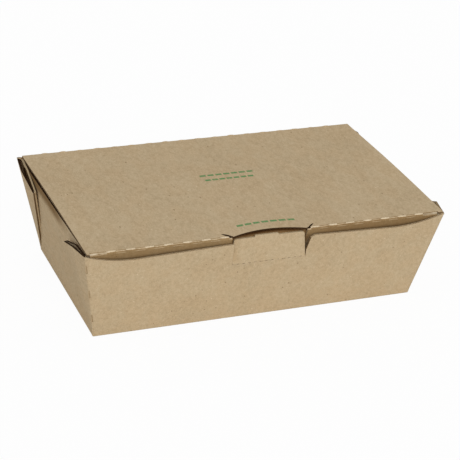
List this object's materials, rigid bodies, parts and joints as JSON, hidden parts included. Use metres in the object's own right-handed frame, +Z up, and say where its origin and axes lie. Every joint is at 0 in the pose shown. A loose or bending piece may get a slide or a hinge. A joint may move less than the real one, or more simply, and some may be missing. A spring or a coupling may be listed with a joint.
{
  "type": "takeaway box",
  "caption": "Folded brown board carton for takeaway food: tapered tray with gusset corners, hinged lid with a tuck flap, and a tear tab that locks the lid.",
  "frame": {"origin": "on the table under the middle of the closed box", "axes": "+X along the length, to the right seen from the front; the lock tab is at the front, -Y; the lid's hinge is at the back, +Y; +Z up"},
  "size_m": [0.2554, 0.153, 0.0672],
  "materials": {
    "kraft_tray": "matt recycled brown board",
    "kraft_lid": "matt recycled brown board",
    "kraft_tab": "matt recycled brown board"
  },
  "bodies": {
    "tray": {"tray": "kraft_tray"},
    "lid": {"lid": "kraft_lid"},
    "lock_tab": {"lock_tab": "kraft_tab"}
  },
  "joints": [
    {"name": "lid_hinge", "type": "hinge", "parent": "tray", "child": "lid", "pos_m": [0, 0.07602, 0.066], "axis": [-1, 0, 0], "range_deg": [0, 180]},
    {"name": "tab_fold", "type": "hinge", "parent": "tray", "child": "lock_tab", "pos_m": [0, -0.07212, 0.04481], "axis": [1, 0, 0], "range_deg": [0, 120]}
  ]
}
